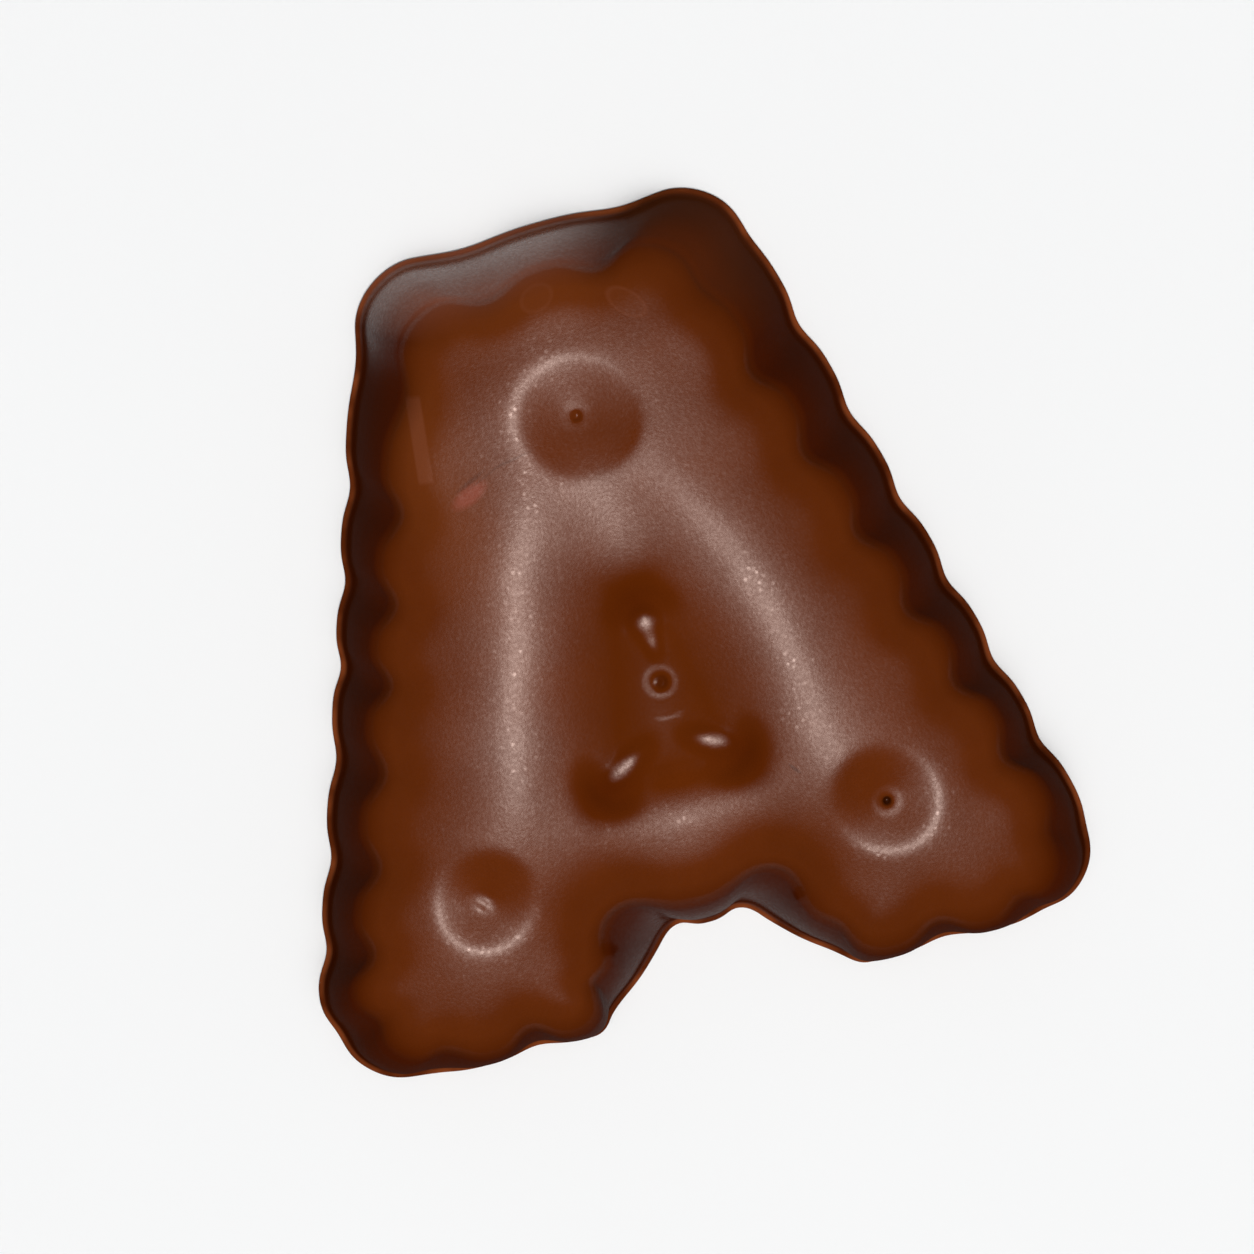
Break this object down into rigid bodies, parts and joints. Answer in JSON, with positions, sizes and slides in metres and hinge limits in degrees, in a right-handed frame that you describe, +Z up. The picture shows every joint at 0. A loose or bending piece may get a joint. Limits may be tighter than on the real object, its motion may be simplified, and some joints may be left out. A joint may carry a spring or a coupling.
{
  "type": "chocolate covered letter biscuit",
  "caption": "Chocolate covered biscuit shaped as a capital A, with fluted sides, a crowned top, round dimples and a closed counter, lying on its flat underside.",
  "frame": {"origin": "centre of the bounding box on the plane of the flat underside", "axes": "+Z up out of the top, +Y towards the head of the letter, +X to the right when the letter is read from above"},
  "size_m": [0.0418, 0.0428, 0.0096],
  "materials": {
    "milk_chocolate": "satin milk chocolate coating"
  },
  "bodies": {
    "root": {"chocolate_letter": "milk_chocolate"}
  },
  "joints": []
}
